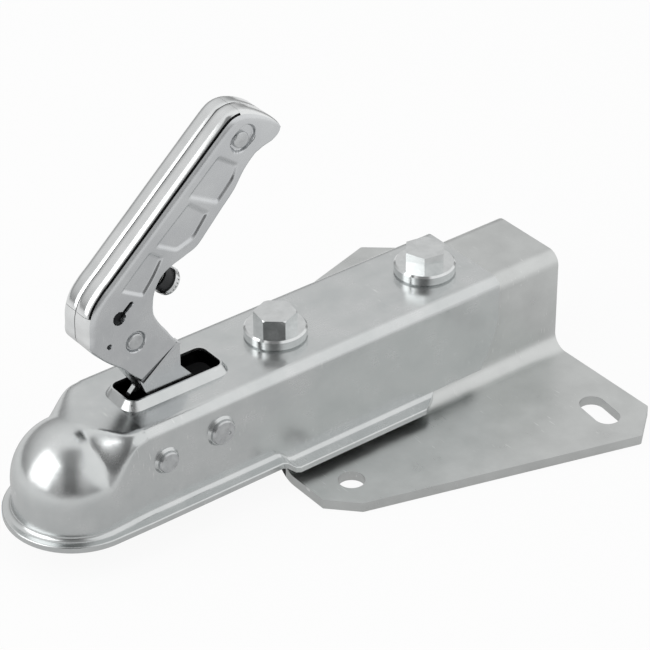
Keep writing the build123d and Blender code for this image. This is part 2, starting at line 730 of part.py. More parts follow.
# Handle shell: pressed side plates, joggled lever and closed nose
with BuildPart() as handle_shell:
    with BuildSketch(Plane.XZ):
        with BuildLine():
            Polyline(*plate_outline, close=True)
        make_face()
    extrude(amount=handle_half, both=True)
    # Hollow between the plates, closed only at the nose
    with BuildSketch(Plane.XZ):
        with BuildLine():
            Polyline(
                (-10, 60),
                (-10, 110),
                (70, 175),
                (87.6, 161.6),
                (88.6, 158.9),
                (95.6, 156.0),
                (100.6, 152.6),
                (105.6, 147.8),
                (107.8, 144.6),
                (106.6, 130.0),
                (60.0, 40.0),
                (20.0, 30.0),
                close=True,
            )
        make_face()
    extrude(amount=handle_half - plate_thick, both=True, mode=Mode.SUBTRACT)
    # Lower lever set in by the joggle
    crank_x, crank_z = crank_point(0)
    with BuildSketch(Plane.XZ.offset(lever_half - plate_thick)):
        with BuildLine():
            Polyline(
                (32.0, 42.8),
                (35.3, 35.0),
                (48.4, 17.0),
                (handle_pivot_x, handle_pivot_z),
                (69.0, 22.5),
                (60.8, 34.5),
                (54.6, 42.0),
                (54.6, 54.5),
                (53.6, 56.4),
                close=True,
            )
        make_face()
        with Locations((handle_pivot_x, handle_pivot_z)):
            Circle(10.8)
        with BuildSketch(mode=Mode.ADD):
            with Locations((handle_pivot_x, handle_pivot_z)):
                Circle(10.8)
            with Locations((crank_x, crank_z)):
                Circle(5.6)
            make_hull()
    extrude(amount=plate_thick)
    # Slanted band that joins lever and grip plates
    band_turn = math.degrees(math.atan2(56.4 - 42.8, 53.6 - 32.0))
    band_length = math.hypot(56.4 - 42.8, 53.6 - 32.0)
    band_plane = Plane(origin=(32.0, 0, 42.8), x_dir=(0, -1, 0), z_dir=(53.6 - 32.0, 0, 56.4 - 42.8))
    with BuildSketch(band_plane):
        with BuildLine():
            Polyline(
                (lever_half - plate_thick, 2.0),
                (lever_half, 2.0),
                (lever_half, 0.6),
                (handle_half, -2.4),
                (handle_half, -4.0),
                (handle_half - plate_thick, -4.0),
                (handle_half - plate_thick, -2.2),
                (lever_half - plate_thick, 0.8),
                close=True,
            )
        make_face()
    extrude(amount=band_length)
    split(bisect_by=Plane.XZ, keep=Keep.TOP)
    mirror(about=Plane.XZ)
    # Rounded top edges along the cover and round the nose
    outer_edges = handle_shell.edges().filter_by_position(Axis.Y, handle_half - 0.01, handle_half + 0.01)
    outer_edges = outer_edges + handle_shell.edges().filter_by_position(
        Axis.Y, -handle_half - 0.01, 0.01 - handle_half
    )
    fillet(outer_edges.filter_by(lambda edge: edge.length > 80), top_edge_round)
    nose_edges = handle_shell.edges().filter_by_position(Axis.Y, handle_half - 0.01, handle_half + 0.01)
    nose_edges = nose_edges + handle_shell.edges().filter_by_position(
        Axis.Y, -handle_half - 0.01, 0.01 - handle_half
    )
    nose_edges = nose_edges.filter_by_position(Axis.X, 89.2, 111).filter_by_position(Axis.Z, 144, 163)
    fillet(nose_edges, nose_edge_round)
    # Bores for the pins and rivets, keyhole and gauge hole
    with BuildSketch(Plane.XZ):
        with Locations((handle_pivot_x, handle_pivot_z)):
            Circle(handle_pin_radius + running_fit)
        with Locations((crank_x, crank_z)):
            Circle(cam_pin_radius)
        with Locations((low_rivet_x, low_rivet_z), (top_rivet_x, top_rivet_z)):
            Circle(rivet_shank_radius)
        with Locations((keyhole_x, keyhole_z)):
            Circle(keyhole_radius)
        with Locations(Location((keyhole_x + 3.4, keyhole_z + 2.8, 0), (0, 0, 39.5))):
            SlotOverall(9.6, keyhole_slot)
        with Locations((gauge_x, gauge_z)):
            Circle(gauge_radius)
    extrude(amount=20, both=True, mode=Mode.SUBTRACT)
    # Recesses of the rivets and the pressed panels on both faces
    for side in (-1, 1):
        with BuildSketch(Plane.XZ.offset(side * handle_half)):
            with Locations((low_rivet_x, low_rivet_z)):
                Circle(rivet_head_radius + 1.2)
            with Locations((top_rivet_x + 1.1, top_rivet_z + 0.5)):
                SlotOverall(12.6, 2 * rivet_head_radius + 2.0)
        extrude(amount=-side * rivet_recess_depth, mode=Mode.SUBTRACT)
        with BuildSketch(Plane.XZ.offset(side * handle_half)) as panels:
            for panel in panel_outlines:
                with BuildLine():
                    Polyline(*panel, close=True)
                make_face()
            fillet(panels.vertices(), 1.6)
        extrude(amount=-side * emboss_depth, mode=Mode.SUBTRACT)
handle_shell.part.label = "handle_shell"
export_step(handle_shell.part, "parts/handle_shell.step")

# Hub between the lever plates
with BuildPart() as lever_hub:
    with BuildSketch(Plane.XZ):
        with Locations((handle_pivot_x, handle_pivot_z)):
            Circle(hub_radius)
            Circle(handle_pin_radius + running_fit, mode=Mode.SUBTRACT)
    extrude(amount=lever_half - plate_thick, both=True)
lever_hub.part.label = "lever_hub"
export_step(lever_hub.part, "parts/lever_hub.step")

# Cam pin across the lever plates
with BuildPart() as cam_pin:
    with BuildSketch(Plane.XZ):
        with Locations((crank_x, crank_z)):
            Circle(cam_pin_radius)
    extrude(amount=lever_half + 0.4, both=True)
cam_pin.part.label = "cam_pin"
export_step(cam_pin.part, "parts/cam_pin.step")

# Grip cover: crowned strip swept along the back of the grip, split by the seam
with BuildPart() as grip_cover_left:
    with BuildLine() as cover_path:
        front_curve = Spline(*cover_front, tangents=[(0.02, 0, 1), (1, 0, 0.906)])
        back_line = Line(front_curve @ 1, cover_back_end)
        Spline(back_line @ 1, cover_tip, tangents=[back_line % 1, (1, 0, 0.3)])
    path_start = cover_path.line.edges().sort_by(Axis.Z)[0]
    with BuildSketch(Plane(origin=front_curve @ 0, x_dir=(0, -1, 0), z_dir=front_curve % 0)):
        with BuildLine():
            ThreePointArc((-cover_half, cover_drop), (0, 0), (cover_half, cover_drop))
            Line((cover_half, cover_drop), (cover_half - 2.1, cover_drop + 0.9))
            ThreePointArc(
                (cover_half - 2.1, cover_drop + 0.9), (0, cover_sheet), (2.1 - cover_half, cover_drop + 0.9)
            )
            Line((2.1 - cover_half, cover_drop + 0.9), (-cover_half, cover_drop))
        make_face()
    sweep(path=cover_path.line)
    # Skirts that stand between the side plates
    skirt_outer = handle_half - plate_thick
    with BuildSketch(Plane.XZ):
        with BuildLine():
            Polyline(*skirt_outline, close=True)
        make_face()
    extrude(amount=skirt_outer, both=True)
    with BuildSketch(Plane.XZ):
        with BuildLine():
            Polyline(*skirt_hollow, close=True)
        make_face()
    extrude(amount=skirt_outer - cover_sheet, both=True, mode=Mode.SUBTRACT)
    with Locations((50, 0, 120)):
        Box(200, 200, 200, align=(Align.CENTER, Align.MIN, Align.CENTER), mode=Mode.SUBTRACT)
    with Locations((50, 0, 120)):
        Box(200, seam_gap, 200, mode=Mode.SUBTRACT)
grip_cover_left.part.label = "grip_cover_left"
export_step(grip_cover_left.part, "parts/grip_cover_left.step")

with BuildPart() as grip_cover_right:
    add(mirror(grip_cover_left.part, about=Plane.XZ))
grip_cover_right.part.label = "grip_cover_right"
export_step(grip_cover_right.part, "parts/grip_cover_right.step")

# Rivets of the handle with low round heads, and the tubes between the plates
with BuildPart() as lower_rivet:
    with BuildSketch(Plane.XZ):
        with Locations((low_rivet_x, low_rivet_z)):
            Circle(rivet_shank_radius)
    extrude(amount=handle_half - rivet_recess_depth, both=True)
    for side in (-1, 1):
        with BuildSketch(Plane.XZ.offset(side * (handle_half - rivet_recess_depth))):
            with Locations((low_rivet_x, low_rivet_z)):
                Circle(rivet_head_radius)
        extrude(amount=side * 1.3)
    head_rims = lower_rivet.edges().filter_by(GeomType.CIRCLE)
    fillet([head_rims.sort_by(Axis.Y)[0], head_rims.sort_by(Axis.Y)[-1]], 0.7)
lower_rivet.part.label = "lower_rivet"
export_step(lower_rivet.part, "parts/lower_rivet.step")

with BuildPart() as upper_rivet:
    with BuildSketch(Plane.XZ):
        with Locations((top_rivet_x, top_rivet_z)):
            Circle(rivet_shank_radius)
    extrude(amount=handle_half - rivet_recess_depth, both=True)
    for side in (-1, 1):
        with BuildSketch(Plane.XZ.offset(side * (handle_half - rivet_recess_depth))):
            with Locations((top_rivet_x, top_rivet_z)):
                Circle(rivet_head_radius)
        extrude(amount=side * 1.3)
    head_rims = upper_rivet.edges().filter_by(GeomType.CIRCLE)
    fillet([head_rims.sort_by(Axis.Y)[0], head_rims.sort_by(Axis.Y)[-1]], 0.7)
upper_rivet.part.label = "upper_rivet"
export_step(upper_rivet.part, "parts/upper_rivet.step")

with BuildPart() as lower_sleeve:
    with BuildSketch(Plane.XZ):
        with Locations((low_rivet_x, low_rivet_z)):
            Circle(sleeve_radius)
            Circle(rivet_shank_radius + running_fit, mode=Mode.SUBTRACT)
    extrude(amount=handle_half - plate_thick, both=True)
lower_sleeve.part.label = "lower_sleeve"
export_step(lower_sleeve.part, "parts/lower_sleeve.step")

with BuildPart() as upper_sleeve:
    with BuildSketch(Plane.XZ):
        with Locations((top_rivet_x, top_rivet_z)):
            Circle(sleeve_radius)
            Circle(rivet_shank_radius + running_fit, mode=Mode.SUBTRACT)
    extrude(amount=handle_half - plate_thick, both=True)
upper_sleeve.part.label = "upper_sleeve"
export_step(upper_sleeve.part, "parts/upper_sleeve.step")

# Safety button: stem and collar in one, with a metal cap over it
button_axis = (button_out_x, 0, button_out_z)
button_face = Plane(origin=(button_x, 0, button_z), x_dir=(0, 1, 0), z_dir=button_axis)
with BuildPart() as safety_button:
    with BuildSketch(button_face):
        Circle(cap_radius - 0.9)
    extrude(amount=1.4)
    with BuildSketch(button_face):
        Circle(stem_radius)
    extrude(amount=-stem_length)
safety_button.part.label = "safety_button"
export_step(safety_button.part, "parts/safety_button.step")

with BuildPart() as button_cap:
    with BuildSketch(button_face):
        Circle(cap_radius)
    extrude(amount=cap_thick)
    cap_rims = button_cap.edges().filter_by(GeomType.CIRCLE).sort_by(Axis.X)
    fillet(cap_rims[-1], 1.0)
    with BuildSketch(button_face):
        Circle(cap_radius - 0.9)
    extrude(amount=1.4, mode=Mode.SUBTRACT)
    # Grip grooves round the rim
    with BuildSketch(button_face.offset(0.9)):
        with PolarLocations(cap_radius, 24):
            Circle(0.32)
    extrude(amount=1.6, mode=Mode.SUBTRACT)
button_cap.part.label = "button_cap"
export_step(button_cap.part, "parts/button_cap.step")

with BuildPart() as button_guide:
    with BuildSketch(button_face.offset(-guide_near)):
        Rectangle(2 * (handle_half - plate_thick), 10.0)
        Circle(stem_radius + running_fit, mode=Mode.SUBTRACT)
    extrude(amount=-guide_length)
button_guide.part.label = "button_guide"
export_step(button_guide.part, "parts/button_guide.step")

with BuildPart() as button_spring:
    spring_start = button_face.offset(-guide_near + 0.45).origin
    with BuildLine() as button_coil:
        coil = Helix(
            pitch=2.0,
            height=guide_near - 0.9,
            radius=4.2,
            center=spring_start,
            direction=button_axis,
        )
    with BuildSketch(Plane(origin=coil @ 0, z_dir=coil % 0)):
        Circle(0.4)
    sweep(path=button_coil.line, is_frenet=True)
button_spring.part.label = "button_spring"
export_step(button_spring.part, "parts/button_spring.step")

# Lock pawl: flat plate that turns on the lower sleeve
with BuildPart() as lock_pawl:
    with BuildSketch(Plane.XZ) as pawl_face:
        with BuildLine():
            Polyline(*pawl_outline, close=True)
        make_face()
        fillet(pawl_face.vertices(), 1.0)
        with Locations((low_rivet_x, low_rivet_z)):
            Circle(sleeve_radius + 3.5)
        with Locations((low_rivet_x, low_rivet_z)):
            Circle(sleeve_radius + running_fit, mode=Mode.SUBTRACT)
    extrude(amount=pawl_half, both=True)
lock_pawl.part.label = "lock_pawl"
export_step(lock_pawl.part, "parts/lock_pawl.step")
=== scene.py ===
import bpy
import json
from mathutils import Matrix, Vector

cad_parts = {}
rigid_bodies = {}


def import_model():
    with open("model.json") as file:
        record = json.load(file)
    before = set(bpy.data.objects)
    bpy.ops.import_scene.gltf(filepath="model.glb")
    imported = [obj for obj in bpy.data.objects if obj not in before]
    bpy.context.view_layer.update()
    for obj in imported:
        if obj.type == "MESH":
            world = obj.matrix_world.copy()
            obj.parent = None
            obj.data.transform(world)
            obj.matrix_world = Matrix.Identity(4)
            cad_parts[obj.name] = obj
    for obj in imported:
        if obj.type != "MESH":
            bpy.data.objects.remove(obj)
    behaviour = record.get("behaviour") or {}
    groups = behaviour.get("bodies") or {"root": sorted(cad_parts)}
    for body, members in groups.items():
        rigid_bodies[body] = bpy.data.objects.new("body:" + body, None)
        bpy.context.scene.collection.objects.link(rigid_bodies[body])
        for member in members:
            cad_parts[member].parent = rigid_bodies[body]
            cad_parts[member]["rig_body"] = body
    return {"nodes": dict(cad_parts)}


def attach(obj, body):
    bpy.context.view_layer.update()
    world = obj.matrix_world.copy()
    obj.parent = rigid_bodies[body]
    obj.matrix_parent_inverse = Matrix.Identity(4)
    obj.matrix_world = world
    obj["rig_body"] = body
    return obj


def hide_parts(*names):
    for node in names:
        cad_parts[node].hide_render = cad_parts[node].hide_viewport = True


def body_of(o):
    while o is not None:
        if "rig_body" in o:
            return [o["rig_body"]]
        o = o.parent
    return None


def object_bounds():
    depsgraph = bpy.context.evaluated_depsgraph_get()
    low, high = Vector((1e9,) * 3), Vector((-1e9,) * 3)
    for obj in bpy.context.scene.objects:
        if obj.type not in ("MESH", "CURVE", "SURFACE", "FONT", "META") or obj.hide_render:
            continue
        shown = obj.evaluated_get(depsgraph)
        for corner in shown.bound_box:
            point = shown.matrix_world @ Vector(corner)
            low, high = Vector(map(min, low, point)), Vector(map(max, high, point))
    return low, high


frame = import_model()
cad_box = [list(corner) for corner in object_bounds()]

import json
import math
import bmesh
import bpy
import numpy as np
from mathutils import Matrix, Vector

scene = bpy.context.scene
scene.view_settings.view_transform = "Standard"
node = frame["nodes"]


# The hollow of the coupling, in metres: the round of the dome, the channel behind it and the slot in its top
hollow_radius = 0.0264
channel_start, channel_end = 0.022, 0.10
hollow_half = 0.0258
hollow_top = 0.0272
slot_start, slot_end = 0.0262, 0.0778
slot_half = 0.0093
slot_top = 0.0328

# Patterns of the plating: how much longer than wide a rolling line is, the scuffs, about 0.5 mm wide, and the
# patches of about 26 mm that they keep to
line_stretch = 40
scuffs_per_metre = (1900.0, 130.0, 240.0)
scuff_turn = (0.3, 0.5, 0.7)
patches_per_metre = 38.0

# Patterns of the moulded plastic: the grain is 0.15 mm across, the flow of the melt about 6 mm
grains_per_metre = 6500.0
flow_per_metre = 160.0


def linear(hex_colour):
    """An sRGB hex value such as "C6C8C8" as linear red, green, blue and an alpha of 1."""
    parts = [int(hex_colour[i:i + 2], 16) / 255 for i in (0, 2, 4)]
    return [v / 12.92 if v <= 0.04045 else ((v + 0.055) / 1.055) ** 2.4 for v in parts] + [1.0]


def add(tree, kind, settings=None, links=None):
    """Adds one shader node.

    settings are properties or socket values by name, and links are outputs by the name of their input.
    """
    made = tree.nodes.new(kind)
    for name, value in (settings or {}).items():
        if isinstance(name, str) and hasattr(made, name):
            setattr(made, name, value)
        else:
            made.inputs[name].default_value = value
    for name, output in (links or {}).items():
        tree.links.new(output, made.inputs[name])
    return made


def new_material(name):
    """A material with an empty node tree."""
    material = bpy.data.materials.new(name)
    material.use_nodes = True
    material.node_tree.nodes.clear()
    return material


def inside_channel(tree, place):
    """1 inside the hollow of the coupling, where the steel is painted dark as the shade inside it, and 0
    outside it.

    The hollow is round about the ball centre at the front, then a channel with the slot in its top.
    """
    def between(value, low, high):
        """1 where value lies between low and high."""
        over = add(tree, "ShaderNodeMath", {"operation": "GREATER_THAN", 1: low}, {0: value})
        under = add(tree, "ShaderNodeMath", {"operation": "LESS_THAN", 1: high}, {0: value})
        both = add(tree, "ShaderNodeMath", {"operation": "MULTIPLY"},
                   {0: over.outputs["Value"], 1: under.outputs["Value"]})
        return both.outputs["Value"]

    def box(length, width, height):
        """1 inside a box between two x, below a half width and below a height."""
        across = add(tree, "ShaderNodeMath", {"operation": "MULTIPLY"},
                     {0: between(axes.outputs["Y"], -width, width),
                      1: between(axes.outputs["Z"], -1.0, height)})
        whole = add(tree, "ShaderNodeMath", {"operation": "MULTIPLY"},
                    {0: across.outputs["Value"], 1: between(axes.outputs["X"], *length)})
        return whole.outputs["Value"]

    axes = add(tree, "ShaderNodeSeparateXYZ", {}, {"Vector": place})
    front = add(tree, "ShaderNodeMath", {"operation": "MINIMUM", 1: 0.0}, {0: axes.outputs["X"]})
    reach = add(tree, "ShaderNodeCombineXYZ", {},
                {"X": front.outputs["Value"], "Y": axes.outputs["Y"], "Z": axes.outputs["Z"]})
    radius = add(tree, "ShaderNodeVectorMath", {"operation": "LENGTH"}, {0: reach.outputs["Vector"]})
    in_round = add(tree, "ShaderNodeMath", {"operation": "MULTIPLY"},
                   {0: between(radius.outputs["Value"], -1.0, hollow_radius),
                    1: between(axes.outputs["X"], -1.0, channel_start)})
    in_channel = add(tree, "ShaderNodeMath", {"operation": "MAXIMUM"},
                     {0: in_round.outputs["Value"],
                      1: box((channel_start, channel_end), hollow_half, hollow_top)})
    either = add(tree, "ShaderNodeMath", {"operation": "MAXIMUM"},
                 {0: in_channel.outputs["Value"], 1: box((slot_start, slot_end), slot_half, slot_top)})
    return either.outputs["Value"]


def plated_steel(name, bright, dull, polish, cloud_mm, grain_mm, along, marks, depth):
    """Zinc-plated steel, or the oiled steel of the pieces inside, painted dark as shade within the coupling's
    hollow. bright and dull are the two tones that it clouds between.

    polish is the lowest and highest roughness, cloud_mm the size of the clouding, grain_mm the width of the
    rolling or pressing lines, along the direction that they run in, marks how much of the surface is scuffed,
    and depth the height of the lines in hundredths of a millimetre.
    """
    material = new_material(name)
    tree = material.node_tree
    place = add(tree, "ShaderNodeTexCoord").outputs["Object"]

    # clouding of the passivated plating, in patches of cloud_mm
    cloud = add(tree, "ShaderNodeTexNoise", {"Scale": 1000 / cloud_mm, "Detail": 4.0, "Roughness": 0.55},
                {"Vector": place})

    # fine lines left by the rolled sheet, grain_mm wide
    stretch = [1000 / grain_mm / (line_stretch if axis == along else 1) for axis in "XYZ"]
    lines_place = add(tree, "ShaderNodeMapping", {"Scale": stretch}, {"Vector": place})
    lines = add(tree, "ShaderNodeTexNoise", {"Scale": 1.0, "Detail": 2.0, "Roughness": 0.6},
                {"Vector": lines_place.outputs["Vector"]})

    # scuffs of handling, thin slanted scratches kept to a few patches
    scuff_place = add(tree, "ShaderNodeMapping", {"Scale": scuffs_per_metre, "Rotation": scuff_turn},
                      {"Vector": place})
    scuff = add(tree, "ShaderNodeTexNoise", {"Scale": 1.0, "Detail": 1.0},
                {"Vector": scuff_place.outputs["Vector"]})
    scuff_cut = add(tree, "ShaderNodeMapRange", {"From Min": 0.70, "From Max": 0.74},
                    {"Value": scuff.outputs["Fac"]})
    patch = add(tree, "ShaderNodeTexNoise", {"Scale": patches_per_metre, "Detail": 1.0}, {"Vector": place})
    patch_cut = add(tree, "ShaderNodeMapRange", {"From Min": 0.52, "From Max": 0.60, "To Max": marks},
                    {"Value": patch.outputs["Fac"]})
    scratch = add(tree, "ShaderNodeMath", {"operation": "MULTIPLY"},
                  {0: scuff_cut.outputs["Result"], 1: patch_cut.outputs["Result"]})

    # colour: clouded plating, pale in the scratches, and painted shade, near black, inside the coupling's
    # hollow
    tone = add(tree, "ShaderNodeValToRGB", {}, {"Fac": cloud.outputs["Fac"]})
    tone.color_ramp.elements[0].position = 0.32
    tone.color_ramp.elements[0].color = linear(dull)
    tone.color_ramp.elements[1].position = 0.68
    tone.color_ramp.elements[1].color = linear(bright)
    lit = add(tree, "ShaderNodeMixRGB", {"Color2": linear("F4F5F4")},
              {"Fac": scratch.outputs["Value"], "Color1": tone.outputs["Color"]})
    # painted shade: near black wherever the rest-pose object coordinates fall inside the hollow, on moving
    # parts too
    shaded_inside = add(tree, "ShaderNodeMixRGB", {"Color2": linear("1D1D1E")},
                  {"Fac": inside_channel(tree, place), "Color1": lit.outputs["Color"]})

    # roughness follows the clouding and the lines, and the lines and scratches have a little height
    mixed = add(tree, "ShaderNodeMath", {"operation": "MULTIPLY_ADD", 1: 0.45},
                {0: lines.outputs["Fac"], 2: cloud.outputs["Fac"]})
    rough = add(tree, "ShaderNodeMapRange",
                {"From Min": 0.45, "From Max": 1.0, "To Min": polish[0], "To Max": polish[1]},
                {"Value": mixed.outputs["Value"]})
    relief = add(tree, "ShaderNodeMath", {"operation": "MULTIPLY_ADD", 1: -1.5},
                 {0: scratch.outputs["Value"], 2: lines.outputs["Fac"]})
    bump = add(tree, "ShaderNodeBump", {"Strength": 1.0, "Distance": depth * 1e-5},
               {"Height": relief.outputs["Value"]})

    steel = add(tree, "ShaderNodeBsdfPrincipled", {"Metallic": 1.0},
                {"Base Color": shaded_inside.outputs["Color"], "Roughness": rough.outputs["Result"],
                 "Normal": bump.outputs["Normal"]})
    add(tree, "ShaderNodeOutputMaterial", {}, {"Surface": steel.outputs["BSDF"]})
    return material


# Bright zinc plating on deep-drawn sheet: satin, with soft clouding and lines along the channel.
coupling_zinc = plated_steel("zinc_plated_pressed_steel", "D3D5D5", "C8CBCB", (0.18, 0.30),
                             cloud_mm=16.0, grain_mm=0.30, along="X", marks=0.5, depth=0.05)
# Zinc plating on folded sheet: duller, blotchy, scuffed by stacking.
bracket_zinc = plated_steel("zinc_plated_folded_steel", "D2D4D3", "C6C8C7", (0.26, 0.44),
                            cloud_mm=16.0, grain_mm=0.35, along="Y", marks=0.7, depth=0.07)
# Zinc plating on a buffed pressing: smooth, with clean reflections.
handle_zinc = plated_steel("zinc_plated_buffed_steel", "D2D4D5", "C6C8CA", (0.20, 0.32),
                           cloud_mm=18.0, grain_mm=0.25, along="Z", marks=0.35, depth=0.02)
# Polished zinc-plated cover of the grip: the brightest metal on the part.
cover_zinc = plated_steel("zinc_plated_polished_steel", "E6E7E7", "D8DADA", (0.13, 0.22),
                          cloud_mm=20.0, grain_mm=0.25, along="Z", marks=0.3, depth=0.02)
# Cold-headed fastener steel under blue-white zinc: crisp, bright facets.
fastener_zinc = plated_steel("zinc_plated_fastener_steel", "DEE0E0", "D2D4D4", (0.10, 0.20),
                             cloud_mm=5.0, grain_mm=0.20, along="X", marks=0.5, depth=0.05)
# Rivet and pin steel, zinc plated after heading, a little darker and grainier.
rivet_zinc = plated_steel("zinc_plated_rivet_steel", "CDCFD0", "B9BBBC", (0.24, 0.38),
                          cloud_mm=3.0, grain_mm=0.20, along="Y", marks=0.3, depth=0.06)
# Plain oiled steel of the pieces inside: dark, with a dull sheen. The handle plates also take it as painted
# shade in their pierced holes and on the inside of their sheet.
oiled_steel_and_painted_shade = plated_steel("oiled_steel_and_painted_shade", "3A3B3C", "222324", (0.34, 0.54),
                           cloud_mm=5.0, grain_mm=0.30, along="X", marks=0.4, depth=0.10)
# Drawn and zinc-plated spring wire: a thin even glint along each coil.
spring_wire = plated_steel("zinc_plated_spring_wire", "B9BAB8", "9C9E9C", (0.22, 0.36),
                           cloud_mm=3.0, grain_mm=0.15, along="X", marks=0.2, depth=0.04)


def moulded_acetal():
    """Black acetal of the safety button: moulded, with a fine spark-eroded grain and a soft sheen."""
    material = new_material("black_moulded_acetal")
    tree = material.node_tree
    place = add(tree, "ShaderNodeTexCoord").outputs["Object"]
    grain = add(tree, "ShaderNodeTexNoise", {"Scale": grains_per_metre, "Detail": 2.0}, {"Vector": place})
    flow = add(tree, "ShaderNodeTexNoise", {"Scale": flow_per_metre, "Detail": 3.0}, {"Vector": place})
    tone = add(tree, "ShaderNodeValToRGB", {}, {"Fac": flow.outputs["Fac"]})
    tone.color_ramp.elements[0].color = linear("17181A")
    tone.color_ramp.elements[1].color = linear("26282A")
    rough = add(tree, "ShaderNodeMapRange", {"To Min": 0.36, "To Max": 0.52}, {"Value": flow.outputs["Fac"]})
    bump = add(tree, "ShaderNodeBump", {"Strength": 0.6, "Distance": 3e-5}, {"Height": grain.outputs["Fac"]})
    plastic = add(tree, "ShaderNodeBsdfPrincipled", {"IOR": 1.48},
                  {"Base Color": tone.outputs["Color"], "Roughness": rough.outputs["Result"],
                   "Normal": bump.outputs["Normal"]})
    add(tree, "ShaderNodeOutputMaterial", {}, {"Surface": plastic.outputs["BSDF"]})
    return material


acetal = moulded_acetal()

finishes = {
    coupling_zinc: ["coupling_body", "lock_pawl"],
    bracket_zinc: ["mounting_bracket"],
    handle_zinc: ["handle_shell"],
    cover_zinc: ["grip_cover_left", "grip_cover_right", "button_cap"],
    fastener_zinc: ["front_bolt", "rear_bolt", "front_washer", "rear_washer", "nut_washers", "front_nut",
                    "rear_nut"],
    rivet_zinc: ["jaw_pin", "handle_pin", "lower_rivet", "upper_rivet"],
    oiled_steel_and_painted_shade: ["jaw_sleeves", "handle_sleeves", "ball_jaw", "lever_hub", "cam_pin", "lower_sleeve",
                  "upper_sleeve"],
    spring_wire: ["main_spring", "button_spring"],
    acetal: ["button_guide", "safety_button"],
}
for finish, names in finishes.items():
    for name in names:
        node[name].data.materials.clear()
        node[name].data.materials.append(finish)


# The handle, in millimetres in the side view, with its width, its sheets and its corners
handle_half = 10.7
plate_thick = 2.5
crown_round = 5.0
edge_round = 1.2

# Stations run from the fold of the lever up to the nose: a point of the front edge, and the point of the back
# edge across from it
front_edge = np.array([
    (31.2, 45.1), (25.8, 50.3), (21.3, 55.3), (15.6, 60.0), (11.2, 64.3), (6.8, 69.1), (4.7, 72.8),
    (4.5, 77.5), (4.9, 84.7), (7.6, 91.8), (12.3, 97.4), (17.6, 102.0), (25.0, 108.6), (33.0, 115.7),
    (41.0, 122.8), (50.0, 130.9), (58.0, 138.0), (66.0, 145.1), (74.0, 152.2), (82.3, 159.2), (87.0, 161.3),
    (91.3, 161.5), (94.6, 160.75), (97.9, 159.4), (101.1, 157.6), (104.3, 155.4), (107.4, 152.7),
    (109.9, 149.8), (111.0, 147.2)])
back_edge = np.array([
    (51.4, 57.7), (48.5, 62.0), (46.0, 66.0), (43.2, 70.0), (41.2, 73.6), (40.0, 76.5), (39.6, 79.1),
    (39.7, 82.2), (40.1, 85.2), (41.0, 88.6), (43.2, 92.6), (46.6, 96.1), (51.0, 98.3), (58.1, 100.6),
    (64.3, 103.0), (70.4, 108.9), (77.7, 116.5), (85.0, 124.0), (90.7, 132.2), (96.3, 137.8), (99.1, 139.3),
    (101.8, 140.4), (104.2, 141.0), (106.2, 141.6), (107.7, 142.4), (108.9, 143.2), (109.8, 144.0),
    (110.6, 145.2), (110.9, 146.4)])
station_numbers = np.arange(len(front_edge))
last_station = len(front_edge) - 1

# The radius of the corner along the crown at each station: tight over the fold, full over the grip, small at
# the nose
round_at = np.interp(station_numbers, [0, 4.5, 6.5, 8, 22.5, 25, 27, 28],
                     [edge_round, edge_round, 4.6, 5, 5, 3.6, 1.6, 0.3])

# The dark gap between cover and plate: half widths of its two sides, the angle of the corner that each comes
# to, and the stations that the cover runs between. Chin and nose bridge the gap at its ends.
gap_inner_half = 8.75
gap_outer_half = 9.55
gap_angle = math.asin((gap_outer_half - handle_half + crown_round) / crown_round)
cover_angle = math.asin((gap_inner_half - handle_half + crown_round) / crown_round)
bridge_angle = np.interp(station_numbers, [0, 4.5, 6.0, 28], [0.0, 0.0, gap_angle, gap_angle])
chin_from = 4.6
cover_from, cover_to = 8.35, 20.7
end_gap = 0.02

# The seam down the middle of the crown: half its width, the drops of its two lowest points, the half width of
# the second, and the points from there to the corner
seam_half = 0.2
seam_drops = (0.35, 0.03)
seam_flank = 0.75
seam_points = 6

# Sheets of the crown, how far their inside is drawn in, how many rows and points each surface has, and how
# much closer the points of the flat stand in its middle
chin_sheet, nose_sheet, cover_sheet = 2.0, 1.6, 1.8
draw_in = 0.25
chin_rows, nose_rows, cover_rows = 40, 60, 160
plate_rows, corner_points, flat_points = 420, 12, 96
middle_closer = 0.06

# Where the plate's inside meets its outside under the crown, and the angles in degrees past which an edge is
# sharp
inner_drop, inner_margin = 0.6, 0.4
skin_crease, lever_crease = 38, 25

# Pressings of the side plates: three panels, two rivet seats, a keyhole and a gauge hole
panels = [
    [(76.9, 143.1), (86.2, 136.5), (84.2, 130.5), (75.4, 121.7), (61.4, 129.5)],
    [(60.6, 125.5), (69.6, 117.9), (61.9, 108.3), (53.2, 105.5), (43.4, 111.3)],
    [(38.9, 108.5), (46.0, 103.1), (40.2, 96.5), (35.6, 88.5), (24.2, 95.3)],
]
panel_depth, panel_sharpness = 1.0, 2.2
panel_wall = (-1.1, 0.5)
low_rivet, top_rivet = (29.4, 66.6), (89.4, 147.9)
top_seat = (88.8, 147.3), (92.0, 149.5)
seat_radius, seat_depth, seat_wall = 5.5, 1.6, 1.0
keyhole, keyhole_end = (21.4, 82.1), (27.8, 87.3)
keyhole_radius, keyhole_half = 3.3, 1.15
gauge_hole, gauge_radius = (15.4, 69.6), 1.25
pierced_depth, pierced_wall = 2.3, 0.35
# painted shade: pressings deeper than dark_depth, the keyhole and the gauge hole, take the dark finish in
# place of holes through the sheet
dark_depth = 1.8
plain_margin = 0.6

# The lever below the fold: the fold line, the band along it where the sheet steps out, the trims at its ends,
# and the half widths of lever and shell in the solid
fold_start = (32.0, 42.8)
fold_run = (21.6, 13.6)
fold_reach = 25.5
band_foot, band_height, band_top = -0.6, 3.0, 2.6
front_trim, back_trim = 1.4, 1.5
lever_half, shell_half = 7.75, 9.5
round_off = 0.01

# Rivet heads of the handle: radius, round of the edge, height where the round starts, height of the top, and
# the radius at pole and foot
head_radius, head_round, head_rise, head_top = 4.0, 0.8, 1.0, 1.9
pole_radius, foot_radius = 0.02, 3.0
turned_points = 64

